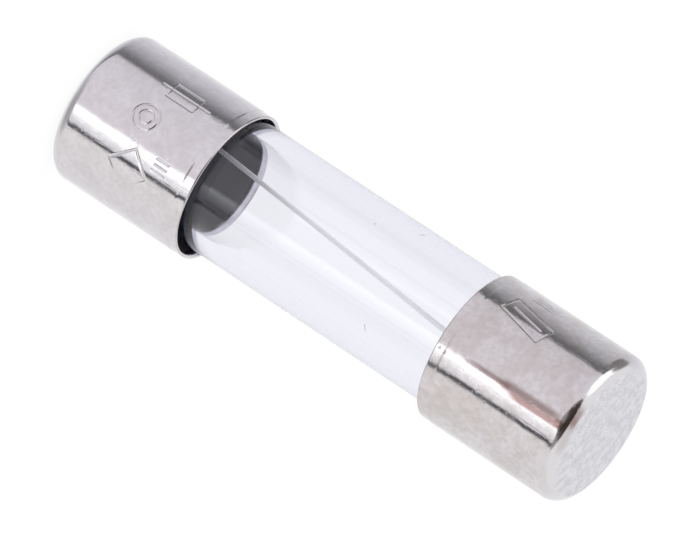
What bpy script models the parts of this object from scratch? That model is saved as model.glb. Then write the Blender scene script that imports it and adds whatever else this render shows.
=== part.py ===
"""Glass cartridge fuse of the 5 x 20 mm size, standing on its lower end cap.

Two drawn metal cups close the ends of a glass tube. A thin fuse wire crosses the bore from one side
of the tube to the other, bends out over each rim and ends in the solder that fills each cup's floor.
Everything is in metres, +Z runs along the fuse, and the origin is the middle of the lower end face.
"""

import math

import bmesh
import bpy

MM = 0.001

# Driving dimensions
OVERALL_LENGTH = 20.0 * MM
CAP_DIAMETER = 5.2 * MM
CAP_LENGTH = 5.2 * MM
CAP_WALL = 0.18 * MM
CAP_END_WALL = 0.25 * MM
CAP_CORNER_RADIUS = 0.46 * MM  # outside, where the barrel turns into the end face
LIP_LENGTH = 0.32 * MM  # the drawn-in band round each mouth
LIP_SETBACK = 0.05 * MM  # the band lies this far inside the barrel's surface
LIP_STEP_LENGTH = 0.06 * MM  # the slope between the barrel and the band
LIP_EDGE_RADIUS = 0.05 * MM
TUBE_WALL = 0.54 * MM
TUBE_RADIAL_GAP = 0.12 * MM  # between the tube and a cap, when both share one axis
TUBE_SIDE_SHIFT = -0.075 * MM  # the tube was soldered in this far off the caps' axis, along X
TUBE_EDGE_RADIUS = 0.12 * MM  # fire-polished rims
WIRE_DIAMETER = 0.17 * MM
WIRE_BEND_RADIUS = 0.25 * MM
WIRE_STUB_LENGTH = 0.30 * MM  # the upright stretch inside each rim, before the wire slants
WIRE_LOWER_AZIMUTH = math.radians(129.5)  # which side of the rim it leaves by, round +Z from +X
WIRE_UPPER_AZIMUTH = math.radians(-73.5)
SOLDER_COVER = 0.13 * MM  # solder below the wire's foot and beyond its end
SOLDER_CREEP = 0.70 * MM  # how far the solder climbs the inside of the bore
SOLDER_DISH = 0.45 * MM  # how far its middle lies below that
FIT_GAP = 0.03 * MM  # left between pieces that touch on the real fuse

# How finely round shapes are divided
TURN_STEPS = 48
CORNER_STEPS = 5
EDGE_STEPS = 3
DISH_STEPS = 5
BEND_STEPS = 6
WIRE_SIDES_RESOLUTION = 2
MERGE_DISTANCE = 1e-7
SHARP_ANGLE = math.radians(35)

# Sizes that follow from them
CAP_RADIUS = CAP_DIAMETER / 2
CAP_BORE_RADIUS = CAP_RADIUS - CAP_WALL
CAP_INNER_CORNER_RADIUS = CAP_CORNER_RADIUS - CAP_WALL
TUBE_RADIUS = CAP_BORE_RADIUS - TUBE_RADIAL_GAP
TUBE_BORE_RADIUS = TUBE_RADIUS - TUBE_WALL
WIRE_RADIUS = WIRE_DIAMETER / 2
WIRE_FOOT_HEIGHT = CAP_END_WALL + FIT_GAP + SOLDER_COVER + WIRE_RADIUS
WIRE_RIM_RADIUS = TUBE_BORE_RADIUS - FIT_GAP - WIRE_RADIUS  # of its centre line, where it passes a rim
TUBE_END_HEIGHT = WIRE_FOOT_HEIGHT + WIRE_BEND_RADIUS + FIT_GAP
TUBE_LENGTH = OVERALL_LENGTH - 2 * TUBE_END_HEIGHT
SOLDER_RADIUS = CAP_BORE_RADIUS - abs(TUBE_SIDE_SHIFT) - FIT_GAP
SOLDER_CORNER_RADIUS = CAP_INNER_CORNER_RADIUS - FIT_GAP


def clear_scene():
    """Removes whatever the scene held."""
    for obj in list(bpy.data.objects):
        bpy.data.objects.remove(obj, do_unlink=True)


def new_collection(name, shown=True):
    """A collection in the scene; one that isn't shown holds cutters."""
    collection = bpy.data.collections.new(name)
    collection.hide_render = not shown
    bpy.context.scene.collection.children.link(collection)
    return collection


def metal(name, colour, roughness):
    """A bare metal finish."""
    material = bpy.data.materials.new(name)
    material.use_nodes = True
    shader = material.node_tree.nodes["Principled BSDF"]
    shader.inputs["Base Color"].default_value = (*colour, 1.0)
    shader.inputs["Metallic"].default_value = 1.0
    shader.inputs["Roughness"].default_value = roughness
    return material


def clear_glass(name, colour):
    """Clear soda-lime glass."""
    material = bpy.data.materials.new(name)
    material.use_nodes = True
    shader = material.node_tree.nodes["Principled BSDF"]
    shader.inputs["Base Color"].default_value = (*colour, 1.0)
    shader.inputs["Metallic"].default_value = 0.0
    shader.inputs["Roughness"].default_value = 0.02
    shader.inputs["IOR"].default_value = 1.52
    shader.inputs["Transmission Weight"].default_value = 1.0
    return material


def arc(centre, radius, start, end, steps):
    """Points (r, z) from one angle to another, in degrees from the +r direction towards +Z."""
    angles = [math.radians(start + (end - start) * step / steps) for step in range(steps + 1)]
    return [(centre[0] + radius * math.cos(a), centre[1] + radius * math.sin(a)) for a in angles]


def finished_mesh(obj):
    """The plain mesh that an object and its modifiers make."""
    bpy.context.view_layer.update()
    graph = bpy.context.evaluated_depsgraph_get()
    return bpy.data.meshes.new_from_object(obj.evaluated_get(graph))


def turned(name, profile, closed, material, collection):
    """A solid of revolution about its own Z axis, from points (r, z) that run down its outer side."""
    mesh = bpy.data.meshes.new(name)
    shape = bmesh.new()
    points = [shape.verts.new((r, 0.0, z)) for r, z in profile]
    for first, second in zip(points, points[1:]):
        shape.edges.new((first, second))
    if closed:
        shape.edges.new((points[-1], points[0]))
    shape.to_mesh(mesh)
    shape.free()
    mesh.materials.append(material)
    obj = bpy.data.objects.new(name, mesh)
    collection.objects.link(obj)
    screw = obj.modifiers.new("turn", "SCREW")
    screw.axis = "Z"
    screw.angle = math.tau
    screw.steps = TURN_STEPS
    screw.render_steps = TURN_STEPS
    screw.use_merge_vertices = True
    screw.merge_threshold = MERGE_DISTANCE
    obj.data = finished_mesh(obj)
    obj.modifiers.clear()
    obj.data.shade_smooth()
    obj.data.set_sharp_from_angle(angle=SHARP_ANGLE)
    return obj


def cap_profile():
    """The section of a cup whose end face is at z = 0 and whose mouth opens upwards."""
    floor_corner = (CAP_BORE_RADIUS - CAP_INNER_CORNER_RADIUS, CAP_END_WALL + CAP_INNER_CORNER_RADIUS)
    lip_radius = CAP_RADIUS - LIP_SETBACK
    lip_bottom = CAP_LENGTH - LIP_LENGTH
    edge_height = CAP_LENGTH - LIP_EDGE_RADIUS
    outer_corner = (CAP_RADIUS - CAP_CORNER_RADIUS, CAP_CORNER_RADIUS)
    return [
        (0.0, CAP_END_WALL),
        *arc(floor_corner, CAP_INNER_CORNER_RADIUS, -90, 0, EDGE_STEPS),
        *arc((CAP_BORE_RADIUS + LIP_EDGE_RADIUS, edge_height), LIP_EDGE_RADIUS, 180, 90, EDGE_STEPS),
        *arc((lip_radius - LIP_EDGE_RADIUS, edge_height), LIP_EDGE_RADIUS, 90, 0, EDGE_STEPS),
        (lip_radius, lip_bottom),
        (CAP_RADIUS, lip_bottom - LIP_STEP_LENGTH),
        *arc(outer_corner, CAP_CORNER_RADIUS, 0, -90, CORNER_STEPS),
        (0.0, 0.0),
    ]


def tube_profile():
    """The section of the glass tube's wall, with z = 0 at its lower rim."""
    outer = TUBE_RADIUS - TUBE_EDGE_RADIUS
    inner = TUBE_BORE_RADIUS + TUBE_EDGE_RADIUS
    low = TUBE_EDGE_RADIUS
    high = TUBE_LENGTH - TUBE_EDGE_RADIUS
    return [
        *arc((inner, high), TUBE_EDGE_RADIUS, 180, 90, EDGE_STEPS),
        *arc((outer, high), TUBE_EDGE_RADIUS, 90, 0, EDGE_STEPS),
        *arc((outer, low), TUBE_EDGE_RADIUS, 0, -90, EDGE_STEPS),
        *arc((inner, low), TUBE_EDGE_RADIUS, -90, -180, EDGE_STEPS),
    ]


def solder_profile():
    """The section of the solder: a disc under the tube's rim, and a dished plug that climbs the bore."""
    floor = CAP_END_WALL + FIT_GAP
    ledge = TUBE_END_HEIGHT - FIT_GAP
    plug_radius = TUBE_BORE_RADIUS - FIT_GAP
    crest = TUBE_END_HEIGHT + SOLDER_CREEP
    corner = (SOLDER_RADIUS - SOLDER_CORNER_RADIUS, floor + SOLDER_CORNER_RADIUS)
    shares = [step / DISH_STEPS for step in range(DISH_STEPS + 1)]
    return [
        *[(plug_radius * share, crest - SOLDER_DISH * (1 - share**3)) for share in shares],
        (plug_radius, ledge),
        (SOLDER_RADIUS, ledge),
        *arc(corner, SOLDER_CORNER_RADIUS, 0, -90, EDGE_STEPS),
        (0.0, floor),
    ]


def rim_route(azimuth, end_allowance):
    """The wire at one rim as points (x, y, z) for the lower end, from its foot's end to its stub."""
    bend_centre = (WIRE_RIM_RADIUS + WIRE_BEND_RADIUS, WIRE_FOOT_HEIGHT + WIRE_BEND_RADIUS)
    foot_end = SOLDER_RADIUS - SOLDER_COVER + end_allowance
    section = [
        (foot_end, WIRE_FOOT_HEIGHT),
        *arc(bend_centre, WIRE_BEND_RADIUS, -90, -180, BEND_STEPS),
        (WIRE_RIM_RADIUS, bend_centre[1] + WIRE_STUB_LENGTH),
    ]
    return [(r * math.cos(azimuth), r * math.sin(azimuth), z) for r, z in section]


def wire_route(end_allowance=0.0):
    """The whole wire, from the lower foot to the upper one, about the tube's axis."""
    lower = rim_route(WIRE_LOWER_AZIMUTH, end_allowance)
    upper = [(x, y, OVERALL_LENGTH - z) for x, y, z in rim_route(WIRE_UPPER_AZIMUTH, end_allowance)]
    return lower + upper[::-1]


def round_wire(name, route, radius, material, collection):
    """A round wire along a route of straight stretches."""
    curve = bpy.data.curves.new(name, "CURVE")
    curve.dimensions = "3D"
    curve.bevel_depth = radius
    curve.bevel_resolution = WIRE_SIDES_RESOLUTION
    curve.use_fill_caps = True
    spline = curve.splines.new("POLY")
    spline.points.add(len(route) - 1)
    for point, place in zip(spline.points, route):
        point.co = (*place, 1.0)
    curve.materials.append(material)
    obj = bpy.data.objects.new(name, curve)
    obj.location.x = TUBE_SIDE_SHIFT
    collection.objects.link(obj)
    return obj


def wire_cutter(material, collection):
    """The room that the wire needs in the solder, as a closed mesh."""
    curve = round_wire("wire_room_curve", wire_route(FIT_GAP), WIRE_RADIUS + FIT_GAP, material, collection)
    mesh = finished_mesh(curve)
    shape = bmesh.new()
    shape.from_mesh(mesh)
    bmesh.ops.remove_doubles(shape, verts=shape.verts, dist=MERGE_DISTANCE)
    shape.to_mesh(mesh)
    shape.free()
    cutter = bpy.data.objects.new("wire_room", mesh)
    cutter.matrix_world = curve.matrix_world
    cutter.display_type = "WIRE"
    cutter.hide_render = True
    collection.objects.link(cutter)
    bpy.data.objects.remove(curve)
    return cutter


def cut(obj, cutter):
    """Takes the cutter's shape out of the object."""
    boolean = obj.modifiers.new("cut", "BOOLEAN")
    boolean.operation = "DIFFERENCE"
    boolean.solver = "EXACT"
    boolean.object = cutter


def turn_over(obj):
    """Stands a piece of the lower end upside down at the upper end."""
    obj.rotation_euler.x = math.pi
    obj.location.z = OVERALL_LENGTH


def build_caps(nickel, collection):
    """The two end caps, mouths facing each other."""
    lower = turned("lower_end_cap", cap_profile(), False, nickel, collection)
    upper = turned("upper_end_cap", cap_profile(), False, nickel, collection)
    turn_over(upper)


def build_tube(glass, collection):
    """The glass tube between the caps' floors."""
    tube = turned("glass_tube", tube_profile(), True, glass, collection)
    tube.location = (TUBE_SIDE_SHIFT, 0.0, TUBE_END_HEIGHT)


def build_solder(tin, collection, cutters):
    """The solder in each cap's floor, with a way through it for the wire."""
    room = wire_cutter(tin, cutters)
    lower = turned("lower_solder", solder_profile(), False, tin, collection)
    upper = turned("upper_solder", solder_profile(), False, tin, collection)
    turn_over(upper)
    for solder in (lower, upper):
        solder.location.x = TUBE_SIDE_SHIFT
        cut(solder, room)


def main():
    clear_scene()
    collection = new_collection("glass_cartridge_fuse")
    cutters = new_collection("cutters", shown=False)
    nickel = metal("nickel_plated_brass", (0.72, 0.69, 0.70), 0.28)
    tinned = metal("tinned_copper_wire", (0.80, 0.80, 0.83), 0.25)
    tin = metal("solder", (0.60, 0.60, 0.62), 0.45)
    glass = clear_glass("soda_lime_glass", (0.95, 0.95, 0.98))
    build_caps(nickel, collection)
    build_tube(glass, collection)
    round_wire("fuse_wire", wire_route(), WIRE_RADIUS, tinned, collection)
    build_solder(tin, collection, cutters)


main()
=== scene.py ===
"""Glass cartridge fuse on a pale floor: two stamped metal caps, a clear tube, the fuse wire and its solder.

Every length is in metres. The fuse stands on its lower end cap with +Z along it, and the camera looks
along +Y. Positions come from the CAD frame's boxes; what is added here is the fine shape of each
piece, its finish, the floor, the light and the camera.
"""

import logging
import math
from collections.abc import Callable
from dataclasses import dataclass, field
from enum import Enum

import bpy
import numpy as np
from mathutils import Matrix, Vector


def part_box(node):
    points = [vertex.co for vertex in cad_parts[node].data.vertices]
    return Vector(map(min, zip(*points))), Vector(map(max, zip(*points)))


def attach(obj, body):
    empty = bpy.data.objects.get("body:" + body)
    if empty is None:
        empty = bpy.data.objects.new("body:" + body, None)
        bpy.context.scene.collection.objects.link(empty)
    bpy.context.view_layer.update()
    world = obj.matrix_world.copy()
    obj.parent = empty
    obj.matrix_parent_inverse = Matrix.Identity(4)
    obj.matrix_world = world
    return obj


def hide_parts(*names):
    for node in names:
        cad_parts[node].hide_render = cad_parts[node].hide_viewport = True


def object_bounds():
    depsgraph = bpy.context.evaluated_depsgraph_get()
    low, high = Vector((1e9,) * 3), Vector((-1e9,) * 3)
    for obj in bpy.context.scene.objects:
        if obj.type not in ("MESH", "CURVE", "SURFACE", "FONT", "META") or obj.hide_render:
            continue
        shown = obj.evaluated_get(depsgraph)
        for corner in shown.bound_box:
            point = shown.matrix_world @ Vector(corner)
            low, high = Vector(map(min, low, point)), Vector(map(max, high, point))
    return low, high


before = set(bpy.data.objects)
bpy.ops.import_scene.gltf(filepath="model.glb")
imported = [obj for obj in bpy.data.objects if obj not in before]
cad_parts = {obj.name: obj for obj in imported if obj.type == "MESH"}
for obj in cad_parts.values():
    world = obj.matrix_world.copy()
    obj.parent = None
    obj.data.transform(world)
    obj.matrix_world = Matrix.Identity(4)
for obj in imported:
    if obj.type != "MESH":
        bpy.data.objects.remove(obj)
CAD_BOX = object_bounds()

MM = 0.001
BODY = "root"
LOG = logging.getLogger("fuse")

Colour = tuple[float, float, float]
Point2 = tuple[float, float]
Point3 = tuple[float, float, float]
Values = dict[str | int, object]
Array = np.ndarray
Tree = bpy.types.NodeTree
Node = bpy.types.Node
Socket = bpy.types.NodeSocket
Material = bpy.types.Material
Mesh = bpy.types.Mesh
Object = bpy.types.Object


class End(Enum):
    """Which end of the fuse a piece belongs to."""

    LOWER = "lower"
    UPPER = "upper"


# Small helpers for node trees


def feed(tree: Tree, socket: Socket, value: object) -> None:
    """Links a socket to an input, or sets the input's value.

    Args:
        tree: The tree that holds the input.
        socket: The input to fill.
        value: An output socket, a number, a colour, or None to leave the input alone.
    """
    if value is None:
        return
    if isinstance(value, Socket):
        tree.links.new(value, socket)
    else:
        socket.default_value = value


def fill(tree: Tree, node: Node, values: Values) -> None:
    """Links or sets a node's inputs, by name or number."""
    for key, value in values.items():
        feed(tree, node.inputs[key], value)


def add_node(tree: Tree, kind: str, values: Values | None = None, **settings: object) -> Node:
    """Adds a node.

    Args:
        tree: The tree that gets the node.
        kind: The node's type name.
        values: Sockets or values for its inputs, by name or number.
        **settings: Properties of the node by name.

    Returns:
        The new node.
    """
    node = tree.nodes.new(kind)
    for name, value in settings.items():
        setattr(node, name, value)
    fill(tree, node, values or {})
    return node


def math_node(tree: Tree, operation: str, first: object, second: object = None) -> Socket:
    """Adds a Math node with one or two inputs, and returns its result."""
    return add_node(tree, "ShaderNodeMath", {0: first, 1: second}, operation=operation).outputs[0]


def blend_colours(tree: Tree, share: object, first: object, second: object) -> Socket:
    """Mixes two colours.

    Args:
        tree: The tree that gets the node.
        share: How much of the second colour shows, from 0 to 1.
        first: A colour or a socket.
        second: A colour or a socket.

    Returns:
        The mixed colour's socket.
    """
    first, second = ((*value, 1.0) if isinstance(value, tuple) else value for value in (first, second))
    values = {"Factor": share, 6: first, 7: second}
    return add_node(tree, "ShaderNodeMix", values, data_type="RGBA").outputs[2]


def blend_values(tree: Tree, share: Socket, first: object, second: float) -> Socket:
    """Mixes two values by a share from 0 to 1."""
    values = {"Factor": share, 2: first, 3: second}
    return add_node(tree, "ShaderNodeMix", values, data_type="FLOAT").outputs[0]


def value_range(tree: Tree, value: object, source: Point2, target: Point2) -> Socket:
    """Maps a value from one range to another, smoothly and with both ends held.

    Args:
        tree: The tree that gets the node.
        value: The socket to map.
        source: The range that comes in.
        target: The range that goes out.

    Returns:
        The mapped value's socket.
    """
    ends = dict(zip(("From Min", "From Max", "To Min", "To Max"), (*source, *target)))
    node = add_node(tree, "ShaderNodeMapRange", {"Value": value, **ends}, interpolation_type="SMOOTHSTEP")
    return node.outputs["Result"]


# Shared surface effects


def new_group(name: str, numbers: tuple[str, ...], output: str) -> tuple[Tree, dict[str, Socket], Socket]:
    """Starts a shader node group.

    Args:
        name: The group's name.
        numbers: Its inputs after Vector, all numbers.
        output: Its output, a number.

    Returns:
        The group, its inputs by name, and the socket that takes its result.
    """
    group = bpy.data.node_groups.new(name, "ShaderNodeTree")
    group.interface.new_socket("Vector", in_out="INPUT", socket_type="NodeSocketVector")
    for label in numbers:
        group.interface.new_socket(label, in_out="INPUT", socket_type="NodeSocketFloat")
    group.interface.new_socket(output, in_out="OUTPUT", socket_type="NodeSocketFloat")
    entry = add_node(group, "NodeGroupInput")
    leave = add_node(group, "NodeGroupOutput")
    return group, {label: entry.outputs[label] for label in ("Vector", *numbers)}, leave.inputs[output]


def cloud_group() -> Tree:
    """Builds the group for soft blotches.

    Returns:
        A group with inputs Vector, Scale and Detail and the output Mask, from 0 to 1.
    """
    group, given, result = new_group("soft_blotches", ("Scale", "Detail"), "Mask")
    noise = add_node(group, "ShaderNodeTexNoise", {"Roughness": 0.6, **given})
    feed(group, result, value_range(group, noise.outputs["Fac"], (0.36, 0.66), (0.0, 1.0)))
    return group


def hairline_group() -> Tree:
    """Builds the group for fine handling scratches in two directions.

    Returns:
        A group with inputs Vector and Scale and the output Height, where a scratch is low.
    """
    group, given, result = new_group("hairline_scratches", ("Scale",), "Height")
    total = None
    for turn, stretch in (((0.1, 0.2, 0.0), (1.0, 1.0, 0.06)), ((0.7, 0.4, 0.3), (1.0, 0.08, 1.0))):
        placed = add_node(group, "ShaderNodeMapping", {
            "Rotation": turn, "Scale": stretch, "Vector": given["Vector"]})
        noise = add_node(group, "ShaderNodeTexNoise", {
            "Detail": 2.0, "Vector": placed.outputs["Vector"], "Scale": given["Scale"]})
        cut = value_range(group, noise.outputs["Fac"], (0.30, 0.40), (0.0, 1.0))
        total = cut if total is None else math_node(group, "MULTIPLY", total, cut)
    feed(group, result, total)
    return group


def sand_group() -> Tree:
    """Builds the group for the fine sandy grain of a blanked metal face.

    Returns:
        A group with inputs Vector and Scale and the output Height.
    """
    group, given, result = new_group("sandy_grain", ("Scale",), "Height")
    coarse = add_node(group, "ShaderNodeTexNoise", {"Detail": 4.0, "Roughness": 0.7, **given})
    pits = add_node(group, "ShaderNodeTexVoronoi", given)
    dots = value_range(group, pits.outputs["Distance"], (0.0, 0.35), (0.0, 0.6))
    feed(group, result, math_node(group, "ADD", coarse.outputs["Fac"], dots))
    return group


@dataclass(frozen=True)
class SurfaceEffects:
    """The shader groups that more than one finish places."""

    cloud: Tree
    hairline: Tree
    sand: Tree

    @classmethod
    def build(cls) -> "SurfaceEffects":
        """Builds each group once."""
        return cls(cloud_group(), hairline_group(), sand_group())


def place_group(tree: Tree, group: Tree, vector: Socket, **values: float) -> Socket:
    """Places a shared effect in a material and returns its only output; values are its other inputs."""
    return add_node(tree, "ShaderNodeGroup", {"Vector": vector, **values}, node_tree=group).outputs[0]


def new_material(name: str) -> tuple[Material, Tree, Node, Socket]:
    """Starts a material.

    Args:
        name: The material's name.

    Returns:
        The material, its tree, its Principled shader and the Object coordinate socket.
    """
    material = bpy.data.materials.new(name)
    material.use_nodes = True
    tree = material.node_tree
    place = add_node(tree, "ShaderNodeTexCoord")
    return material, tree, tree.nodes["Principled BSDF"], place.outputs["Object"]


# Finishes


@dataclass(frozen=True)
class Relief:
    """Fine unevenness that only bends the light: its strength and its depth."""

    strength: float
    depth: float

    def over(self, tree: Tree, height: Socket, normal: Socket | None = None) -> Socket:
        """Bends a normal, or the plain surface's one where it is None, by the slopes of a height."""
        values = {"Strength": self.strength, "Distance": self.depth, "Height": height, "Normal": normal}
        return add_node(tree, "ShaderNodeBump", values).outputs["Normal"]


@dataclass(frozen=True)
class NickelPlate:
    """Bright nickel plating on drawn brass, blotchy and lightly scratched, with a sandy end face and painted
    shade inside the cup.
    """

    name: str
    colour: Colour
    blotch_colour: Colour
    # Tarnish colour; where a cap lists tarnish on its rounded end edge, this colour paints a dark reflection
    # there
    stain_and_reflection_colour: Colour
    face_colour: Colour
    face_pit_colour: Colour = (0.38, 0.37, 0.40)
    corner_colour: Colour = (0.71, 0.695, 0.71)
    fleck_colour: Colour = (0.40, 0.37, 0.36)
    # Painted shade: the inside of the cup is coloured dark, where shade falls in the recess
    inside_shade_colour: Colour = (0.30, 0.30, 0.31)
    roughness: Point2 = (0.10, 0.15)
    face_roughness: float = 0.42
    inside_roughness: float = 0.35
    blotch_scale: float = 1500.0
    scratch_scale: float = 9000.0
    sand_scale: float = 8000.0
    speck_scale: float = 5000.0
    fleck_scale: float = 2600.0
    mottle_scale: float = 3000.0
    speck_share: float = 0.40
    mottle_share: float = 0.8
    dimming: float = 0.80
    fleck_heights: Point2 = (0.41, 0.50)
    fleck_shares: Point2 = (0.75, 0.0)
    pit_heights: Point2 = (0.55, 0.95)
    scratches: Relief = Relief(0.22, 0.004 * MM)
    peel: Relief = Relief(0.07, 0.0035 * MM)
    sand: Relief = Relief(0.9, 0.016 * MM)

    def material(self, effects: SurfaceEffects) -> Material:
        """Makes the plating.

        Args:
            effects: The shared surface effects.

        Returns:
            The material, which reads the attributes face, corner, inside and stain of its mesh; the inside is
            painted dark as shade, and the stain layer also carries a painted dark reflection.
        """
        material, tree, shader, place = new_material(self.name)
        masks = {
            name: add_node(tree, "ShaderNodeAttribute", attribute_name=name).outputs["Fac"]
            for name in ("face", "corner", "inside", "stain_and_reflection")
        }
        blotch = place_group(tree, effects.cloud, place, Scale=self.blotch_scale, Detail=5.0)
        speck = place_group(tree, effects.cloud, place, Scale=self.speck_scale, Detail=3.0)
        uneven = place_group(tree, effects.sand, place, Scale=self.fleck_scale)
        grain = place_group(tree, effects.sand, place, Scale=self.sand_scale)
        mottle = place_group(tree, effects.cloud, place, Scale=self.mottle_scale, Detail=4.0)
        face_colour = blend_colours(tree, value_range(tree, grain, self.pit_heights, (0.0, 1.0)),
                                    self.face_pit_colour, self.face_colour)
        face_colour = blend_colours(tree, math_node(tree, "MULTIPLY", mottle, self.mottle_share), face_colour,
                                    self._dimmed(self.face_colour))
        colour = self.colour
        for share, layer in (
            (blotch, self.blotch_colour),
            (math_node(tree, "MULTIPLY", speck, self.speck_share), self._dimmed(self.blotch_colour)),
            (value_range(tree, uneven, self.fleck_heights, self.fleck_shares), self.fleck_colour),
            (masks["corner"], self.corner_colour),
            # Tarnish, and painted dark reflection on the rounded end edge
            (masks["stain_and_reflection"], self.stain_and_reflection_colour),
            (masks["face"], face_colour),
            # Painted shade: the inside of the cup is darkened
            (masks["inside"], self.inside_shade_colour),
        ):
            colour = blend_colours(tree, share, colour, layer)
        rough = value_range(tree, blotch, (0.0, 1.0), self.roughness)
        rough = blend_values(tree, masks["face"], rough, self.face_roughness)
        rough = blend_values(tree, masks["inside"], rough, self.inside_roughness)
        scratch = place_group(tree, effects.hairline, place, Scale=self.scratch_scale)
        normal = self.peel.over(tree, speck, self.scratches.over(tree, scratch))
        normal = self.sand.over(tree, math_node(tree, "MULTIPLY", grain, masks["face"]), normal)
        fill(tree, shader, {"Base Color": colour, "Metallic": 1.0, "Roughness": rough, "Normal": normal})
        return material

    def _dimmed(self, colour: Colour) -> Colour:
        """The same colour, darker."""
        return tuple(self.dimming * part for part in colour)


@dataclass(frozen=True)
class Lint:
    """A speck of lint on the glass: its place, half its length, half its width, and its turn in degrees."""

    place: Point3
    length: float
    width: float
    turn: float
    depth: float = 0.5 * MM
    edge: Point2 = (0.6, 1.2)

    def share(self, tree: Tree, place: Socket) -> Socket:
        """How much it covers at each place, from 0 to 1."""
        local = add_node(tree, "ShaderNodeMapping", {
            "Location": self.place, "Rotation": (0.0, math.radians(self.turn), 0.0),
            "Scale": (self.length, self.depth, self.width), "Vector": place}, vector_type="TEXTURE")
        reach = add_node(tree, "ShaderNodeVectorMath", {0: local.outputs["Vector"]}, operation="LENGTH")
        return value_range(tree, reach.outputs["Value"], self.edge, (1.0, 0.0))


@dataclass(frozen=True)
class ClearGlass:
    """Clear drawn glass with a faint cold tint, slight draw lines along it and a few specks of lint."""

    name: str = "clear_drawn_glass"
    tint: Colour = (1.0, 1.0, 1.0)
    absorbed: Colour = (0.465, 0.475, 0.80)
    absorption: float = 175.0
    refraction: float = 1.517
    draw_line_scale: float = 900.0
    draw_line_stretch: float = 0.04
    draw_lines: Relief = Relief(0.15, 0.004 * MM)
    lint_colour: Colour = (0.42, 0.41, 0.43)
    lint: tuple[Lint, ...] = (
        Lint((-2.09 * MM, -1.11 * MM, 11.90 * MM), 0.10 * MM, 0.022 * MM, -133.0),
        Lint((1.27 * MM, -1.86 * MM, 12.29 * MM), 0.13 * MM, 0.022 * MM, -26.0),
        Lint((-1.57 * MM, -1.75 * MM, 10.63 * MM), 0.035 * MM, 0.025 * MM, 0.0),
    )

    def material(self) -> Material:
        """Makes the glass. A shadow, and a ray that left a piece inside the tube, go through unbent.

        Returns:
            The material.
        """
        material, tree, shader, place = new_material(self.name)
        tint = self.tint
        for speck in self.lint:
            tint = blend_colours(tree, speck.share(tree, place), tint, self.lint_colour)
        rays = add_node(tree, "ShaderNodeLightPath").outputs
        inside_wall = math_node(tree, "MODULO", rays["Transmission Depth"], 2.0)
        outside_wall = math_node(tree, "SUBTRACT", 1.0, inside_wall)
        mirrored = math_node(tree, "MULTIPLY", rays["Is Reflection Ray"], outside_wall)
        unbent = math_node(tree, "MAXIMUM", rays["Is Shadow Ray"], mirrored)
        placed = add_node(tree, "ShaderNodeMapping", {
            "Scale": (1.0, 1.0, self.draw_line_stretch), "Vector": place})
        noise = add_node(tree, "ShaderNodeTexNoise", {
            "Scale": self.draw_line_scale, "Detail": 1.0, "Vector": placed.outputs["Vector"]})
        shader.inputs["Base Color"].default_value = (*self.tint, 1.0)
        fill(tree, shader, {
            "Base Color": tint,
            "Metallic": 0.0,
            "Roughness": 0.0,
            "IOR": self.refraction,
            "Transmission Weight": 1.0,
            "Alpha": math_node(tree, "SUBTRACT", 1.0, unbent),
            "Normal": self.draw_lines.over(tree, noise.outputs["Fac"]),
        })
        body = add_node(tree, "ShaderNodeVolumeAbsorption", {
            "Color": (*self.absorbed, 1.0), "Density": self.absorption})
        feed(tree, tree.nodes["Material Output"].inputs["Volume"], body.outputs["Volume"])
        return material


@dataclass(frozen=True)
class SoftMetal:
    """A soft tin-coated metal: the fuse wire, or solder."""

    name: str
    colour: Colour
    blotch_colour: Colour
    roughness: Point2
    blotch_scale: float
    unevenness: Relief
    metallic: float = 1.0

    def material(self, effects: SurfaceEffects) -> Material:
        """Makes the metal.

        Args:
            effects: The shared surface effects.

        Returns:
            The material.
        """
        material, tree, shader, place = new_material(self.name)
        blotch = place_group(tree, effects.cloud, place, Scale=self.blotch_scale, Detail=4.0)
        fill(tree, shader, {
            "Base Color": blend_colours(tree, blotch, self.colour, self.blotch_colour),
            "Metallic": self.metallic,
            "Roughness": value_range(tree, blotch, (0.0, 1.0), self.roughness),
            "Normal": self.unevenness.over(tree, blotch),
        })
        return material


# Geometry helpers


def arc(centre: Point2, radius: float, start: float, end: float, steps: int) -> list[Point2]:
    """Points on an arc, both ends included, between angles in degrees from the first axis."""
    angles = np.radians(np.linspace(start, end, steps + 1))
    return [(centre[0] + radius * math.cos(a), centre[1] + radius * math.sin(a)) for a in angles]


def line(first: Point2, last: Point2, spacing: float) -> list[Point2]:
    """Points on a straight stretch, at most the spacing apart, without its two ends."""
    count = max(1, math.ceil(math.dist(first, last) / spacing))
    return [tuple(np.add(first, np.subtract(last, first) * step / count)) for step in range(1, count)]


def smooth_step(value: Array, low: float, high: float) -> Array:
    """Rises smoothly from 0 at low to 1 at high."""
    share = np.clip((value - low) / (high - low), 0.0, 1.0)
    return share * share * (3.0 - 2.0 * share)


@dataclass(frozen=True)
class Ripple:
    """Smooth unevenness in space: a sum of waves in random directions."""

    amplitude: float
    wavelength: float
    seed: int
    waves: int = 14

    def at(self, points: Array) -> Array:
        """Its height at each point.

        Args:
            points: Positions, one row each.

        Returns:
            One height for each row.
        """
        random = np.random.default_rng(self.seed)
        directions = random.normal(size=(self.waves, 3))
        directions /= np.linalg.norm(directions, axis=1, keepdims=True)
        lengths = self.wavelength * random.uniform(0.7, 1.6, self.waves)
        phases = random.uniform(0.0, math.tau, self.waves)
        total = np.zeros(len(points))
        for direction, length, phase in zip(directions, lengths, phases):
            total += np.sin(points @ direction * math.tau / length + phase)
        return self.amplitude * total / math.sqrt(self.waves / 2)


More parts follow.
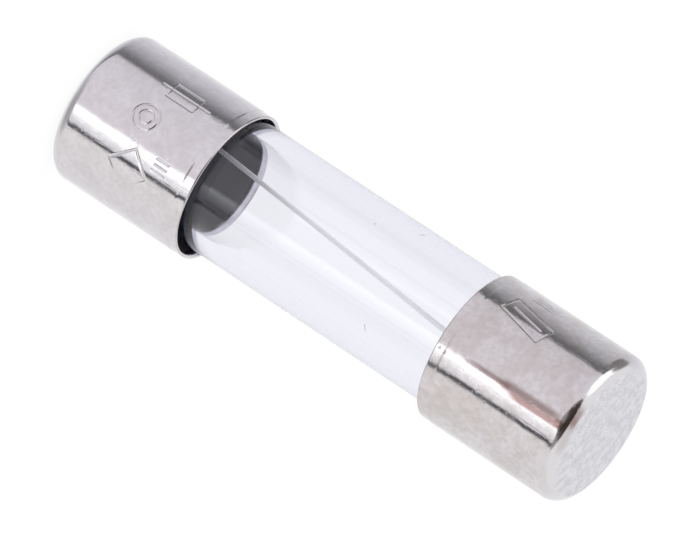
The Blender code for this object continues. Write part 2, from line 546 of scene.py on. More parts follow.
@dataclass(frozen=True)
class Turning:
    """How a section is turned: about which upright axis, through which angles, and which way up."""

    angles: Array
    axis: Point2 = (0.0, 0.0)
    mirror_height: float | None = None

    def mesh(self, name: str, profile: list[Point2],
             shaping: Callable[[Array, Array], Array] | None = None,
             ) -> tuple[Mesh, Array]:
        """Turns a section into a closed mesh.

        Args:
            name: The mesh's name.
            profile: Points (radius, height) that run down the outer side, from the axis to the axis.
            shaping: Given the points and their outward directions, returns the points where they go.

        Returns:
            The mesh, and where each of its points was before shaping, with heights as in the profile.
        """
        section = np.array(profile)
        steps = np.gradient(section, axis=0)
        steps /= np.linalg.norm(steps, axis=1, keepdims=True)
        outward = np.stack([-steps[:, 1], steps[:, 0]], axis=1)
        around = np.stack([np.sin(self.angles), -np.cos(self.angles)], axis=1)
        points = self._swept(section, around)
        shaped = shaping(points, self._swept(outward, around)) if shaping else points.copy()
        shaped[:, :2] += self.axis
        if self.mirror_height is not None:
            shaped[:, 2] = self.mirror_height - shaped[:, 2]

        grid = np.arange(len(points)).reshape(len(section), len(self.angles))
        grid[0] = grid[0, 0]
        grid[-1] = grid[-1, 0]
        after = np.roll(grid, -1, axis=1)
        quads = np.stack([grid[:-1], grid[1:], after[1:], after[:-1]], axis=-1).reshape(-1, 4)
        if self.mirror_height is not None:
            quads = quads[:, ::-1]
        used, index = np.unique(quads, return_inverse=True)
        faces = [list(dict.fromkeys(quad)) for quad in index.reshape(quads.shape).tolist()]
        mesh = bpy.data.meshes.new(name)
        mesh.from_pydata(shaped[used].tolist(), [], faces)
        mesh.shade_smooth()
        return mesh, points[used]

    @staticmethod
    def _swept(section: Array, around: Array) -> Array:
        """Repeats each (radius, height) row round the axis, as rows (x, y, z)."""
        swept = np.empty((len(section), len(around), 3))
        swept[..., :2] = section[:, None, :1] * around[None]
        swept[..., 2] = section[:, 1:2]
        return swept.reshape(-1, 3)


def add_piece(name: str, mesh: Mesh, material: Material, slot: str,
              *nodes: str) -> Object:
    """Puts a finished mesh in the scene as a piece of the fuse.

    Args:
        name: The piece's name.
        mesh: Its mesh.
        material: Its finish.
        slot: The record's material slot; not used.
        *nodes: The CAD nodes that it stands for.

    Returns:
        The piece.
    """
    mesh.name = name
    mesh.materials.clear()
    mesh.materials.append(material)
    piece = bpy.data.objects.new(name, mesh)
    bpy.context.scene.collection.objects.link(piece)
    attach(piece, BODY)
    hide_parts(*nodes)
    LOG.info("%s: %d faces, for %s", name, len(mesh.polygons), ", ".join(nodes))
    return piece


def paint(mesh: Mesh, name: str, values: Array) -> None:
    """Stores one number for each point of a mesh under a name that its material reads."""
    layer = mesh.attributes.new(name, "FLOAT", "POINT")
    layer.data.foreach_set("value", values.astype(np.float32))


# End caps


@dataclass(frozen=True)
class Stroke:
    """A punched line on a cap's barrel, as points (distance round the barrel, height)."""

    path: tuple[Point2, ...]
    depth: float = 0.017 * MM
    half_width: float = 0.040 * MM
    burr_height: float = 0.22
    burr_place: float = 1.35
    burr_spread: float = 0.38

    def distance(self, places: Array) -> Array:
        """How far each place lies from the line."""
        nearest = np.full(len(places), np.inf)
        for start, end in zip(self.path, self.path[1:]):
            start, along = np.array(start), np.subtract(end, start)
            share = np.clip((places - start) @ along / (along @ along), 0.0, 1.0)
            gap = np.linalg.norm(places - start - share[:, None] * along, axis=1)
            nearest = np.minimum(nearest, gap)
        return nearest

    def height(self, places: Array) -> Array:
        """The surface's height at each place: a groove with a slight burr on both sides."""
        gap = self.distance(places) / self.half_width
        burr = self.burr_height * np.exp(-(((gap - self.burr_place) / self.burr_spread) ** 2))
        return self.depth * (burr - (1.0 - smooth_step(gap, 0.15, 1.1)))


def box_stroke(centre: Point2, size: Point2, turn: float) -> Stroke:
    """A rectangle's outline, turned by an angle in degrees."""
    cos, sin = math.cos(math.radians(turn)), math.sin(math.radians(turn))
    path = []
    for a, b in ((-1, -1), (1, -1), (1, 1), (-1, 1), (-1, -1)):
        x, y = a * size[0] / 2, b * size[1] / 2
        path.append((centre[0] + x * cos - y * sin, centre[1] + x * sin + y * cos))
    return Stroke(tuple(path))


def ring_stroke(centre: Point2, radius: float) -> Stroke:
    """A circle's outline, struck a little deeper."""
    return Stroke(tuple(arc(centre, radius, 0, 360, 28)), depth=0.028 * MM)


def bar_strokes(start: Point2, end: Point2, step: float, depth: float = 0.017 * MM) -> list[Stroke]:
    """Three straight lines side by side, a step apart round the barrel."""
    return [Stroke(((start[0] + count * step, start[1]), (end[0] + count * step, end[1])), depth)
            for count in range(3)]


@dataclass(frozen=True)
class Dent:
    """A shallow round dent on a barrel: where it is, how wide and how deep."""

    azimuth: float
    height: float
    radius: float
    depth: float

    def drop(self, places: Array, barrel_radius: float) -> Array:
        """How far each place sinks."""
        centre = (math.radians(self.azimuth) * barrel_radius, self.height)
        gap = np.linalg.norm(places - centre, axis=1)
        return -self.depth * np.exp(-((gap / self.radius) ** 2))


@dataclass(frozen=True)
class TintStretch:
    """A stretch of colour on a cap, between two azimuths and two heights with soft edges: tarnish on the
    barrel, painted dark reflection on the rounded end edge.
    """

    azimuths: Point2
    heights: Point2
    softness: Point2
    strength: float

    def share(self, azimuth: Array, height: Array) -> Array:
        """How much it shows at each place."""
        total = np.full(len(azimuth), self.strength)
        for value, (low, high), soft in zip((azimuth, height), (self.azimuths, self.heights), self.softness):
            total *= smooth_step(value, low - soft, low + soft)
            total *= 1.0 - smooth_step(value, high - soft, high + soft)
        return total


@dataclass(frozen=True)
class EndCap:
    """A drawn metal cup with a drawn-in lip at its mouth, punched marks and a sandy end face."""

    end: End
    finish: NickelPlate
    strokes: tuple[Stroke, ...]
    dents: tuple[Dent, ...]
    stains_and_reflections: tuple[TintStretch, ...]
    marked_azimuths: Point2
    marked_heights: Point2
    seed: int
    wall: float = 0.18 * MM
    end_wall: float = 0.25 * MM
    corner_radius: float = 0.46 * MM
    lip_length: float = 0.32 * MM
    lip_setback: float = 0.018 * MM
    lip_step: float = 0.10 * MM
    lip_edge_radius: float = 0.045 * MM
    mouth_width: float = 0.112 * MM
    mouth_depth: float = 0.29 * MM
    mark_spacing: float = 0.028 * MM
    fine_turn: float = 0.55
    coarse_turn: float = 2.2
    mouth_steps: int = 13
    rim_stain: float = 0.6
    corner_fade: Point2 = (0.3, 1.1)

    @property
    def node(self) -> str:
        """The CAD node that the cap stands for."""
        return f"{self.end.value}_end_cap"

    @property
    def radius(self) -> float:
        """The barrel's outer radius, from the CAD."""
        low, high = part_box(self.node)
        return (high[0] - low[0]) / 2

    @property
    def length(self) -> float:
        """The cup's length, from the CAD."""
        low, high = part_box(self.node)
        return high[2] - low[2]

    def angles(self) -> Array:
        """The turning angles, close together only where there are marks."""
        low, high = self.marked_azimuths
        fine = np.linspace(low, high, round((high - low) / self.fine_turn) + 1)
        coarse = np.linspace(high, low + 360.0, round((360.0 - high + low) / self.coarse_turn) + 1)
        return np.radians(np.concatenate([fine, coarse[1:-1]]))

    def profile(self) -> list[Point2]:
        """The section, with the end face at height 0 and the mouth above."""
        bore = self.radius - self.wall
        inner_corner = self.corner_radius - self.wall
        lip = self.radius - self.lip_setback
        edge = self.lip_edge_radius
        mouth = [(bore + self.mouth_width * (1.0 - math.cos(turn)),
                  self.length - self.mouth_depth * (1.0 - math.sin(turn)))
                 for turn in np.radians(np.linspace(0.0, 90.0, self.mouth_steps))]
        rim = self.length - edge
        lip_bottom = self.length - self.lip_length
        shoulder = lip_bottom - self.lip_step
        low, high = self.marked_heights
        flat = self.radius - self.corner_radius
        step = [(self.radius - self.lip_setback * share * share * (3 - 2 * share),
                 shoulder + self.lip_step * share)
                for share in np.linspace(1.0, 0.0, 7)]
        return [
            (0.0, self.end_wall),
            *line((0.0, self.end_wall), (bore - inner_corner, self.end_wall), 0.4 * MM),
            *arc((bore - inner_corner, self.end_wall + inner_corner), inner_corner, -90, 0, 6),
            *line((bore, self.end_wall + inner_corner), mouth[0], 0.3 * MM),
            *mouth,
            *arc((lip - edge, rim), edge, 90, 0, 5),
            *line((lip, rim), (lip, lip_bottom), 0.02 * MM),
            *step,
            *line((self.radius, shoulder), (self.radius, high), 0.04 * MM),
            (self.radius, high),
            *line((self.radius, high), (self.radius, low), self.mark_spacing),
            (self.radius, low),
            *line((self.radius, low), (self.radius, self.corner_radius), 0.05 * MM),
            *arc((flat, self.corner_radius), self.corner_radius, 0, -90, 20),
            *line((flat, 0.0), (0.0, 0.0), 0.04 * MM),
            (0.0, 0.0),
        ]

    def places(self, points: Array) -> tuple[Array, Array]:
        """Each point's azimuth in degrees and its height."""
        return np.degrees(np.arctan2(points[:, 0], -points[:, 1])), points[:, 2]

    def masks(self, points: Array) -> tuple[Array, Array]:
        """How far each point belongs to the end face, and to the inside of the cup."""
        radial = np.linalg.norm(points[:, :2], axis=1)
        flat = self.radius - self.corner_radius
        face = (1.0 - smooth_step(radial, flat, flat + 0.45 * self.corner_radius)) * (
            points[:, 2] < 0.5 * self.corner_radius)
        hidden = (radial < self.radius - self.wall + 0.02 * self.lip_edge_radius) & (
            points[:, 2] > 0.9 * self.end_wall)
        return face, hidden.astype(float)

    def shape(self, points: Array, outward: Array) -> Array:
        """Presses the marks, dents and unevenness into the turned cup.

        Args:
            points: The turned points.
            outward: Their outward directions.

        Returns:
            The points where they go. None moves out past the cup's own size.
        """
        azimuth, height = self.places(points)
        face, hidden = self.masks(points)
        on_barrel = (1.0 - hidden) * (height > 0.6 * self.corner_radius)
        places = np.stack([np.radians(azimuth) * self.radius, height], axis=1)
        marked = (on_barrel > 0) & (height < self.length - 2 * self.lip_edge_radius)
        move = np.zeros(len(points))
        for stroke in self.strokes:
            pressed = np.where(marked, stroke.height(places), 0.0)
            move = np.where(np.abs(pressed) > np.abs(move), pressed, move)
        for dent in self.dents:
            move += on_barrel * dent.drop(places, self.radius)
        move += on_barrel * Ripple(0.0035 * MM, 2.2 * MM, self.seed).at(points)
        move += on_barrel * Ripple(0.0004 * MM, 0.32 * MM, self.seed + 2, 24).at(points)
        move += face * Ripple(0.0030 * MM, 0.17 * MM, self.seed + 1, 30).at(points)
        moved = points + outward * move[:, None]
        radial = np.linalg.norm(moved[:, :2], axis=1, keepdims=True)
        moved[:, :2] *= np.minimum(1.0, self.radius / np.maximum(radial, 1e-9))
        moved[:, 2] = np.clip(moved[:, 2], 0.0, self.length)
        return moved

    def build(self, effects: SurfaceEffects) -> Object:
        """Makes the cap.

        Args:
            effects: The shared surface effects.

        Returns:
            The piece.
        """
        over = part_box(self.node)[1][2] if self.end is End.UPPER else None
        turning = Turning(self.angles(), mirror_height=over)
        mesh, points = turning.mesh(self.node, self.profile(), self.shape)
        face, hidden = self.masks(points)
        paint(mesh, "face", face)
        paint(mesh, "inside", hidden)
        near, far = self.corner_fade
        low = 1.0 - smooth_step(points[:, 2], near * self.corner_radius, far * self.corner_radius)
        paint(mesh, "corner", low * (1.0 - hidden))
        # Tarnish from the list, painted dark reflection on the rounded end edge, and tarnish at the rim
        shares = [stain_and_reflection.share(*self.places(points)) for stain_and_reflection in self.stains_and_reflections]
        radial = np.linalg.norm(points[:, :2], axis=1)
        lip = self.radius - self.lip_setback
        rim = self.rim_stain * (radial > lip - self.lip_edge_radius) * smooth_step(
            points[:, 2], self.length - self.lip_edge_radius, self.length)
        paint(mesh, "stain_and_reflection", np.clip(sum(shares, rim), 0.0, 1.0))
        material = self.finish.material(effects)
        return add_piece(f"stamped_{self.node}", mesh, material, "nickel_plated_brass", self.node)


# Geometry Nodes pieces


class NodeShape:
    """A Geometry Nodes tree with named inputs, and the plain mesh that it makes."""

    kinds = ((int, "Int"), (tuple, "Vector"), (Material, "Material"), (object, "Float"))

    def __init__(self, name: str, inputs: dict[str, object]) -> None:
        """Starts the tree.

        Args:
            name: The tree's name.
            inputs: The value of each named input, which also says the input's type.
        """
        self.tree = bpy.data.node_groups.new(name, "GeometryNodeTree")
        self.tree.interface.new_socket("Geometry", in_out="INPUT", socket_type="NodeSocketGeometry")
        self.sockets = {}
        for label, value in inputs.items():
            kind = next(kind for form, kind in self.kinds if isinstance(value, form))
            self.sockets[label] = self.tree.interface.new_socket(
                label, in_out="INPUT", socket_type=f"NodeSocket{kind}")
        self.tree.interface.new_socket("Geometry", in_out="OUTPUT", socket_type="NodeSocketGeometry")
        self.values = inputs
        self.entry = self.node("NodeGroupInput")

    def node(self, kind: str, values: Values | None = None, **settings: object) -> Node:
        """Adds a node with its inputs and properties."""
        return add_node(self.tree, kind, values, **settings)

    def given(self, label: str) -> Socket:
        """The socket of a named input."""
        return self.entry.outputs[label]

    def sum(self, operation: str, first: object, second: object) -> Socket:
        """A Math node's result."""
        return self.node("ShaderNodeMath", {0: first, 1: second}, operation=operation).outputs[0]

    def finish(self, geometry: Socket) -> None:
        """Ends the tree in Realize Instances and Set Material."""
        smooth = self.node("GeometryNodeSetShadeSmooth", {"Geometry": geometry})
        real = self.node("GeometryNodeRealizeInstances", {"Geometry": smooth.outputs[0]})
        dressed = self.node("GeometryNodeSetMaterial", {
            "Geometry": real.outputs[0], "Material": self.given("Material")})
        leave = self.node("NodeGroupOutput")
        self.tree.links.new(dressed.outputs[0], leave.inputs[0])

    def mesh(self, base: Mesh) -> Mesh:
        """Runs the tree on a base mesh.

        Args:
            base: What the modifier starts from.

        Returns:
            A plain mesh; the modifier and its object are gone.
        """
        holder = bpy.data.objects.new("node_shape", base)
        bpy.context.scene.collection.objects.link(holder)
        modifier = holder.modifiers.new("shape", "NODES")
        modifier.node_group = self.tree
        for label, value in self.values.items():
            modifier[self.sockets[label].identifier] = value
        graph = bpy.context.evaluated_depsgraph_get()
        made = bpy.data.meshes.new_from_object(holder.evaluated_get(graph))
        holder.modifiers.clear()
        bpy.data.objects.remove(holder)
        return made


@dataclass(frozen=True)
class GlassTube:
    """The clear tube: a rounded wall section carried round a circle."""

    wall: float = 0.54 * MM
    edge_radius: float = 0.12 * MM
    sides: int = 360
    edge_steps: int = 6
    row_spacing: float = 0.4 * MM
    finish: ClearGlass = field(default_factory=ClearGlass)
    node: str = "glass_tube"

    def build(self) -> Object:
        """Makes the tube in its CAD node's place.

        Returns:
            The piece.
        """
        low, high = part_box(self.node)
        material = self.finish.material()
        shape = NodeShape("tube_wall_round_a_circle", {
            "Outer Radius": (high[0] - low[0]) / 2,
            "Wall": self.wall,
            "Length": high[2] - low[2],
            "Edge Radius": self.edge_radius,
            "Row Spacing": self.row_spacing,
            "Sides": self.sides,
            "Middle": tuple((a + b) / 2 for a, b in zip(low, high)),
            "Material": material,
        })
        half_wall = shape.sum("MULTIPLY", shape.given("Wall"), 0.5)
        ring = shape.node("GeometryNodeCurvePrimitiveCircle", {
            "Resolution": shape.given("Sides"),
            "Radius": shape.sum("SUBTRACT", shape.given("Outer Radius"), half_wall)})
        upright = shape.node("GeometryNodeSetCurveNormal", {"Curve": ring.outputs[0]}, mode="Z_UP")
        section = shape.node("GeometryNodeCurvePrimitiveQuadrilateral", {
            "Width": shape.given("Wall"), "Height": shape.given("Length")})
        rounded = shape.node("GeometryNodeFilletCurve", {
            "Curve": section.outputs[0], "Radius": shape.given("Edge Radius"),
            "Count": self.edge_steps, "Limit Radius": True}, mode="POLY")
        place = shape.node("GeometryNodeInputPosition")
        after = shape.node("GeometryNodeOffsetPointInCurve", {"Offset": 1})
        index = shape.node("GeometryNodeInputIndex")
        feed(shape.tree, after.inputs["Point Index"], index.outputs[0])
        following = shape.node("GeometryNodeFieldAtIndex", {
            "Index": after.outputs["Point Index"], "Value": place.outputs[0]},
            data_type="FLOAT_VECTOR", domain="POINT")
        stretch = shape.node("ShaderNodeVectorMath", {
            0: place.outputs[0], 1: following.outputs["Value"]}, operation="DISTANCE")
        cuts = shape.sum("DIVIDE", stretch.outputs["Value"], shape.given("Row Spacing"))
        rows = shape.node("GeometryNodeSubdivideCurve", {"Curve": rounded.outputs[0], "Cuts": cuts})
        wall = shape.node("GeometryNodeCurveToMesh", {
            "Curve": upright.outputs[0], "Profile Curve": rows.outputs[0]})
        placed = shape.node("GeometryNodeTransform", {
            "Geometry": wall.outputs[0], "Translation": shape.given("Middle")})
        shape.finish(placed.outputs[0])
        mesh = shape.mesh(bpy.data.meshes.new("tube_start"))
        return add_piece("clear_glass_tube", mesh, material, "clear_glass", self.node)


@dataclass(frozen=True)
class FuseWire:
    """The fuse wire: across the bore from rim to rim, and bent out over both rims."""

    bore_gap: float = 0.03 * MM
    radius: float = 0.085 * MM
    bend_radius: float = 0.25 * MM
    stub_length: float = 0.30 * MM
    solder_cover: float = 0.13 * MM
    lower_azimuth: float = math.radians(129.5)
    upper_azimuth: float = math.radians(-73.5)
    point_spacing: float = 0.06 * MM
    sides: int = 20
    waver: float = 0.0012 * MM
    waver_scale: float = 600.0
    node: str = "fuse_wire"

    def route(self, tube: GlassTube) -> list[Point3]:
        """The points of the centre line, from the lower foot's end to the upper one's."""
        low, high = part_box(tube.node)
        wire_low, wire_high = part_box(self.node)
        solder_low, solder_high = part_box("lower_solder")
        middle = (low[0] + high[0]) / 2
        rim = (high[0] - low[0]) / 2 - tube.wall - self.bore_gap - self.radius
        foot_height = wire_low[2] + self.radius
        foot_end = (solder_high[0] - solder_low[0]) / 2 - self.solder_cover
        section = [
            (foot_end, foot_height),
            *arc((rim + self.bend_radius, foot_height + self.bend_radius), self.bend_radius, -90, -180, 8),
            (rim, foot_height + self.bend_radius + self.stub_length),
        ]
        total = wire_low[2] + wire_high[2]
        lower, upper = ([(middle + r * math.cos(turn), r * math.sin(turn), z) for r, z in section]
                        for turn in (self.lower_azimuth, self.upper_azimuth))
        return lower + [(x, y, total - z) for x, y, z in upper[::-1]]

    def build(self, tube: GlassTube, finish: SoftMetal, effects: SurfaceEffects) -> Object:
        """Makes the wire.

        Args:
            tube: The tube that it crosses.
            finish: Its metal.
            effects: The shared surface effects.

        Returns:
            The piece.
        """
        material = finish.material(effects)
        route = self.route(tube)
        base = bpy.data.meshes.new("wire_route")
        base.from_pydata(route, [(a, a + 1) for a in range(len(route) - 1)], [])
        shape = NodeShape("round_wire_along_a_route", {
            "Radius": self.radius,
            "Sides": self.sides,
            "Point Spacing": self.point_spacing,
            "Waver": self.waver,
            "Seed": 3.0,
            "Material": material,
        })
        curve = shape.node("GeometryNodeMeshToCurve", {"Mesh": shape.given("Geometry")})
        even = shape.node("GeometryNodeResampleCurve", {
            "Curve": curve.outputs[0], "Length": shape.given("Point Spacing")}, mode="LENGTH")
        noise = shape.node("ShaderNodeTexNoise", {
            "W": shape.given("Seed"), "Scale": self.waver_scale, "Detail": 1.0}, noise_dimensions="4D")
        centred = shape.node("ShaderNodeVectorMath", {
            0: noise.outputs["Color"], 1: (0.5, 0.5, 0.5)}, operation="SUBTRACT")
        wander = shape.node("ShaderNodeVectorMath", {
            0: centred.outputs[0], "Scale": shape.given("Waver")}, operation="SCALE")
        bent = shape.node("GeometryNodeSetPosition", {
            "Geometry": even.outputs[0], "Offset": wander.outputs[0]})
        ring = shape.node("GeometryNodeCurvePrimitiveCircle", {
            "Resolution": shape.given("Sides"), "Radius": shape.given("Radius")})
        wire = shape.node("GeometryNodeCurveToMesh", {
            "Curve": bent.outputs[0], "Profile Curve": ring.outputs[0], "Fill Caps": True})
        shape.finish(wire.outputs[0])
        mesh = shape.mesh(base)
        return add_piece("round_fuse_wire", mesh, material, "tinned_copper_wire", self.node)


@dataclass(frozen=True)
class SolderPlug:
    """Solder in a cap's floor: a disc under the tube's rim and a dished plug that climbs the bore."""

    end: End
    seed: int
    plug_gap: float = 0.03 * MM
    dish: float = 0.45 * MM
    corner_radius: float = 0.25 * MM
    turn_step: float = 3.0
    rough: float = 0.02 * MM
    rough_wavelength: float = 0.9 * MM

    @property
    def node(self) -> str:
        """The CAD node that the solder stands for."""
        return f"{self.end.value}_solder"

    def build(self, tube: GlassTube, finish: SoftMetal, effects: SurfaceEffects) -> Object:
        """Makes the solder.

        Args:
            tube: The tube whose end it holds.
            finish: Its metal.
            effects: The shared surface effects.

        Returns:
            The piece.
        """
        low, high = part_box(self.node)
        tube_low, tube_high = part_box(tube.node)
        upper = self.end is End.UPPER
        fuse_height = CAD_BOX[1][2]
        floor = fuse_height - high[2] if upper else low[2]
        crest = fuse_height - low[2] if upper else high[2]
        tube_end = fuse_height - tube_high[2] if upper else tube_low[2]
        plug = (tube_high[0] - tube_low[0]) / 2 - tube.wall - self.plug_gap
        outer = (high[0] - low[0]) / 2
        ledge = tube_end - self.plug_gap
        corner = self.corner_radius
        shares = np.linspace(0.0, 1.0, 24)
        dished = [(plug * share, crest - self.dish * (1 - share**3)) for share in shares]
        profile = [
            *dished,
            *line((plug, crest), (plug, ledge), 0.1 * MM),
            (plug, ledge),
            *line((plug, ledge), (outer, ledge), 0.1 * MM),
            (outer, ledge),
            *arc((outer - corner, floor + corner), corner, 0, -90, 6),
            (0.0, floor),
        ]
        unevenness = Ripple(self.rough, self.rough_wavelength, self.seed)

        def shaping(points: Array, outward: Array) -> Array:
            """Makes the dished surface uneven, and leaves the rest as turned."""
            radial = np.linalg.norm(points[:, :2], axis=1)
            free = (points[:, 2] > ledge + 0.1 * MM) * (1.0 - smooth_step(radial, 0.8 * plug, 0.98 * plug))
            moved = points.copy()
            moved[:, 2] += free * unevenness.at(points)
            return moved

        turning = Turning(np.radians(np.arange(0.0, 360.0, self.turn_step)), ((low[0] + high[0]) / 2, 0.0),
                          fuse_height if upper else None)
        mesh, _ = turning.mesh(self.node, profile, shaping)
        material = finish.material(effects)
        return add_piece(f"dished_{self.node}", mesh, material, "solder", self.node)


# Studio


@dataclass(frozen=True)
class SoftPatch:
    """A round patch of the surround: where it is, how far off it fades and ends, and its light."""

    azimuth: float
    elevation: float
    inner: float
    outer: float
    light: Colour

    def share(self, tree: Tree, direction: Socket) -> Socket:
        """How much of the patch shows in a direction, from 0 to 1."""
        turn, rise = math.radians(self.azimuth), math.radians(self.elevation)
        centre = (math.cos(rise) * math.sin(turn), -math.cos(rise) * math.cos(turn), math.sin(rise))
        along = add_node(tree, "ShaderNodeVectorMath", {0: direction, 1: centre}, operation="DOT_PRODUCT")
        edge = (math.cos(math.radians(self.outer)), math.cos(math.radians(self.inner)))
        return value_range(tree, along.outputs["Value"], edge, (0.0, 1.0))


@dataclass(frozen=True)
class Studio:
    """A pale floor, a soft surround of light with the cards that the metal reflects, and the camera."""

    camera_distance: float = 400.0 * MM
    elevation: float = math.radians(21.42)
    roll: float = math.radians(33.49)
    lens: float = 663.3
    aim: Point2 = (0.050 * MM, -0.057 * MM)
    floor_size: float = 6.0
    floor_colour: Colour = (0.15, 0.15, 0.15)
    floor_roughness: float = 0.9
    floor_glow: float = 0.88
    sky: Colour = (1.0, 1.0, 1.0)
    glass_lift: Point2 = (0.05, 0.40)
    glass_lift_share: float = 0.95
    crossing_lift_share: float = 0.9
    card_tops: Point2 = (0.34, 0.56)
    # Azimuth from the camera's side in degrees, positive towards +X, and the light there
    cards: tuple[tuple[float, Colour], ...] = (
        (-180.0, (1.00, 1.00, 1.02)),
        (-150.0, (0.87, 0.87, 0.90)),
        (-130.0, (0.76, 0.76, 0.80)),
        (-113.0, (0.66, 0.66, 0.70)),
        (-101.0, (0.52, 0.52, 0.55)),
        (-91.0, (0.36, 0.36, 0.38)),
        (-82.0, (0.20, 0.20, 0.21)),
        (-76.0, (0.15, 0.15, 0.16)),
        (-72.0, (0.82, 0.80, 0.84)),
        (-50.0, (0.86, 0.83, 0.88)),
        (0.0, (0.92, 0.89, 0.93)),
        (18.0, (0.92, 0.89, 0.92)),
        (21.5, (2.30, 2.33, 2.40)),
        (30.0, (1.60, 1.62, 1.66)),
        (36.0, (1.15, 1.15, 1.17)),
        (45.0, (0.97, 0.97, 1.00)),
        (46.5, (0.05, 0.05, 0.06)),
        (51.5, (0.05, 0.05, 0.06)),
        (53.0, (1.00, 0.98, 0.98)),
        (80.0, (0.95, 0.93, 0.93)),
        (122.0, (0.93, 0.92, 0.93)),
        (150.0, (0.94, 0.94, 0.95)),
        (180.0, (1.00, 1.00, 1.02)),
    )
    patches: tuple[SoftPatch, ...] = (
        SoftPatch(-72.0, 38.0, 18.0, 26.0, (1.60, 1.60, 1.58)),
        SoftPatch(-104.0, 30.0, 10.0, 18.0, (1.50, 1.50, 1.48)),
        SoftPatch(-114.0, 21.0, 10.0, 22.0, (0.28, 0.27, 0.26)),
        SoftPatch(-105.0, 5.0, 15.0, 18.0, (0.26, 0.25, 0.25)),
        SoftPatch(10.0, 38.0, 28.0, 34.0, (0.07, 0.055, 0.05)),
        SoftPatch(12.0, 6.0, 7.0, 18.0, (0.40, 0.37, 0.36)),
        SoftPatch(36.0, 33.0, 7.0, 14.0, (0.12, 0.10, 0.10)),
        SoftPatch(48.0, 27.0, 5.0, 14.0, (0.35, 0.33, 0.33)),
        SoftPatch(35.0, -62.0, 10.0, 40.0, (0.52, 0.51, 0.53)),
    )

    def build(self) -> None:
        """Makes the floor, the light and the camera."""
        self._floor()
        self._surround()
        self._camera()
        scene = bpy.context.scene
        scene.view_settings.view_transform = "Standard"
        scene.view_settings.look = "None"

    def _floor(self) -> None:
        """Makes the floor that the fuse stands on."""
        half = self.floor_size / 2
        mesh = bpy.data.meshes.new("pale_floor")
        corners = [(-half, -half, 0), (half, -half, 0), (half, half, 0), (-half, half, 0)]
        mesh.from_pydata(corners, [], [(0, 1, 2, 3)])
        material, tree, shader, _ = new_material("pale_floor")
        fill(tree, shader, {
            "Base Color": (*self.floor_colour, 1.0),
            "Roughness": self.floor_roughness,
            "Emission Color": (1.0, 1.0, 1.0, 1.0),
            "Emission Strength": self.floor_glow,
        })
        mesh.materials.append(material)
        floor = bpy.data.objects.new("pale_floor", mesh)
        floor.visible_glossy = False
        floor.visible_transmission = False
        bpy.context.scene.collection.objects.link(floor)

    def _surround(self) -> None:
        """Makes the light all round: soft from above, and the cards below the horizon."""
        world = bpy.data.worlds.new("soft_studio")
        bpy.context.scene.world = world
        world.use_nodes = True
        tree = world.node_tree
        background = tree.nodes["Background"]
        direction = add_node(tree, "ShaderNodeTexCoord").outputs["Generated"]
        axes = add_node(tree, "ShaderNodeSeparateXYZ", {0: direction}).outputs
        toward = math_node(tree, "MULTIPLY", axes["Y"], -1.0)
        azimuth = math_node(tree, "ARCTAN2", axes["X"], toward)
        values = {0: azimuth, 1: 0.5 / math.pi, 2: 0.5}
        turn = add_node(tree, "ShaderNodeMath", values, operation="MULTIPLY_ADD")
        ramp = add_node(tree, "ShaderNodeValToRGB")
        stops = ramp.color_ramp.elements
        while len(stops) > 1:
            stops.remove(stops[-1])
        for index, (angle, colour) in enumerate(self.cards):
            stop = stops[0] if index == 0 else stops.new(angle / 360.0 + 0.5)
            stop.position = angle / 360.0 + 0.5
            stop.color = (*colour, 1.0)
        feed(tree, ramp.inputs["Fac"], turn.outputs[0])
        above = value_range(tree, axes["Z"], self.card_tops, (0.0, 1.0))
        around = blend_colours(tree, above, ramp.outputs["Color"], self.sky)
        for patch in self.patches:
            around = blend_colours(tree, patch.share(tree, direction), around, patch.light)
        rays = add_node(tree, "ShaderNodeLightPath").outputs
        through = math_node(tree, "GREATER_THAN", rays["Transmission Depth"], 0.5)
        behind = value_range(tree, axes["Y"], self.glass_lift, (0.0, self.glass_lift_share))
        share = math_node(tree, "MULTIPLY", through, behind)
        # A ray that goes straight through the tube crosses four glass surfaces
        clear = value_range(tree, rays["Transmission Depth"], (3.0, 4.0), (0.0, self.crossing_lift_share))
        seen = blend_colours(tree, math_node(tree, "MAXIMUM", share, clear), around, self.sky)
        seen = blend_colours(tree, rays["Is Camera Ray"], seen, (1.0, 1.0, 1.0))
        feed(tree, background.inputs["Color"], seen)

    def _camera(self) -> None:
        """Makes the camera: a long lens from slightly above, rolled so that the fuse lies aslant."""
        data = bpy.data.cameras.new("camera")
        data.lens = self.lens
        data.sensor_width = 36.0
        data.clip_start = 0.01
        data.clip_end = 20.0
        camera = bpy.data.objects.new("camera", data)
        bpy.context.scene.collection.objects.link(camera)
        back = Vector((0.0, -math.cos(self.elevation), math.sin(self.elevation)))
        level = Vector((1.0, 0.0, 0.0))
        upright = Vector((0.0, math.sin(self.elevation), math.cos(self.elevation)))
        right = upright * math.cos(self.roll) - level * math.sin(self.roll)
        up = -upright * math.sin(self.roll) - level * math.cos(self.roll)
        middle = (Vector(CAD_BOX[0]) + Vector(CAD_BOX[1])) / 2
        target = middle + right * self.aim[0] + up * self.aim[1]
        turn = Matrix((right, up, back)).transposed().to_4x4()
        camera.matrix_world = Matrix.Translation(target + back * self.camera_distance) @ turn
        bpy.context.scene.camera = camera


# The fuse


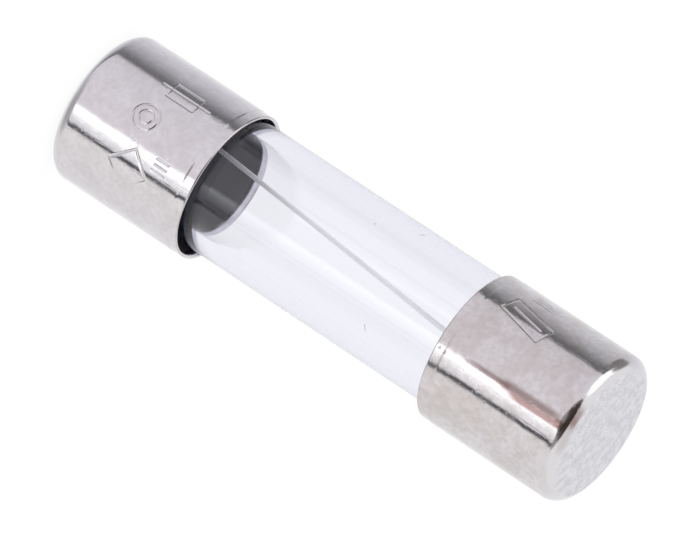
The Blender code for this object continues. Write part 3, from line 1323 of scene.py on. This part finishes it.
def cap_strokes(end: End) -> tuple[Stroke, ...]:
    """The plain marks punched in a cap: signs made of boxes, rings and bars.

    Args:
        end: Which cap.

    Returns:
        Its strokes.
    """
    if end is End.LOWER:
        return (
            box_stroke((-1.72 * MM, 3.15 * MM), (0.62 * MM, 1.05 * MM), 0.0),
            Stroke(((-1.72 * MM, 2.30 * MM), (-1.72 * MM, 4.10 * MM))),
            ring_stroke((-0.42 * MM, 2.62 * MM), 0.45 * MM),
            ring_stroke((-0.42 * MM, 2.62 * MM), 0.24 * MM),
            box_stroke((1.28 * MM, 2.92 * MM), (1.0 * MM, 1.0 * MM), 45.0),
            *bar_strokes((0.46 * MM, 3.70 * MM), (0.46 * MM, 4.15 * MM), 0.21 * MM),
        )
    return (
        box_stroke((-1.85 * MM, 3.35 * MM), (0.70 * MM, 1.70 * MM), 14.0),
        Stroke(((-1.72 * MM, 2.75 * MM), (-1.98 * MM, 3.95 * MM))),
        *bar_strokes((-2.75 * MM, 2.9 * MM), (-2.80 * MM, 3.8 * MM), -0.17 * MM, 0.012 * MM),
    )


def build_caps(effects: SurfaceEffects) -> None:
    """Makes both caps, each with its own marks and wear; the upper cap also gets a painted dark reflection on
    its rounded end edge.

    Args:
        effects: The shared surface effects.
    """
    lower_finish = NickelPlate("nickel_plate_lower", (0.745, 0.725, 0.745), (0.70, 0.675, 0.69),
                               (0.48, 0.40, 0.34), (0.71, 0.70, 0.73), speck_share=0.30)
    upper_finish = NickelPlate("nickel_plate_upper", (0.735, 0.71, 0.725), (0.65, 0.612, 0.60),
                               (0.27, 0.18, 0.17), (0.76, 0.75, 0.785), blotch_scale=1000.0)
    EndCap(End.LOWER, lower_finish, cap_strokes(End.LOWER), (), (),
           (-58.0, 52.0), (1.5 * MM, 4.3 * MM), 11).build(effects)
    dents = (
        Dent(35.6, 2.93 * MM, 0.16 * MM, 0.010 * MM),
        Dent(12.4, 4.84 * MM, 0.05 * MM, 0.012 * MM),
        Dent(11.0, 5.04 * MM, 0.04 * MM, 0.012 * MM),
        Dent(-7.6, 0.87 * MM, 0.05 * MM, 0.006 * MM),
    )
    stains_and_reflections = (
        TintStretch((4.2, 11.4), (0.5 * MM, 2.7 * MM), (2.0, 0.3 * MM), 0.78),
        TintStretch((10.2, 13.7), (0.5 * MM, 2.2 * MM), (0.9, 0.3 * MM), 0.88),
        TintStretch((6.0, 9.5), (2.6 * MM, 3.9 * MM), (1.2, 0.4 * MM), 0.75),
        # These three paint the dark brown reflection on the rounded end edge into the colour; the three above
        # are tarnish
        TintStretch((2.0, 30.0), (-0.1 * MM, 0.14 * MM), (6.0, 0.05 * MM), 0.28),
        TintStretch((7.5, 13.5), (0.22 * MM, 0.55 * MM), (1.5, 0.10 * MM), 0.75),
        TintStretch((-8.0, 8.0), (0.0, 0.20 * MM), (5.0, 0.06 * MM), 0.7),
    )
    EndCap(End.UPPER, upper_finish, cap_strokes(End.UPPER), dents, stains_and_reflections,
           (-75.0, 15.0), (2.3 * MM, 4.5 * MM), 23, lip_setback=0.009 * MM).build(effects)


def main() -> None:
    """Builds the studio and every piece of the fuse in turn."""
    logging.basicConfig(level=logging.INFO, format="%(name)s: %(message)s")
    Studio().build()
    effects = SurfaceEffects.build()
    build_caps(effects)
    tube = GlassTube()
    tube.build()
    wire_metal = SoftMetal("tinned_wire", (0.93, 0.94, 0.93), (0.89, 0.90, 0.89), (0.40, 0.55), 1500.0,
                           Relief(0.4, 0.0002 * MM), metallic=0.10)
    FuseWire().build(tube, wire_metal, effects)
    tin = SoftMetal("dull_solder", (0.60, 0.62, 0.68), (0.40, 0.41, 0.45), (0.33, 0.48), 1800.0,
                    Relief(0.4, 0.006 * MM))
    for end, seed in ((End.LOWER, 31), (End.UPPER, 37)):
        SolderPlug(end, seed).build(tube, tin, effects)


if __name__ == "__main__":
    main()
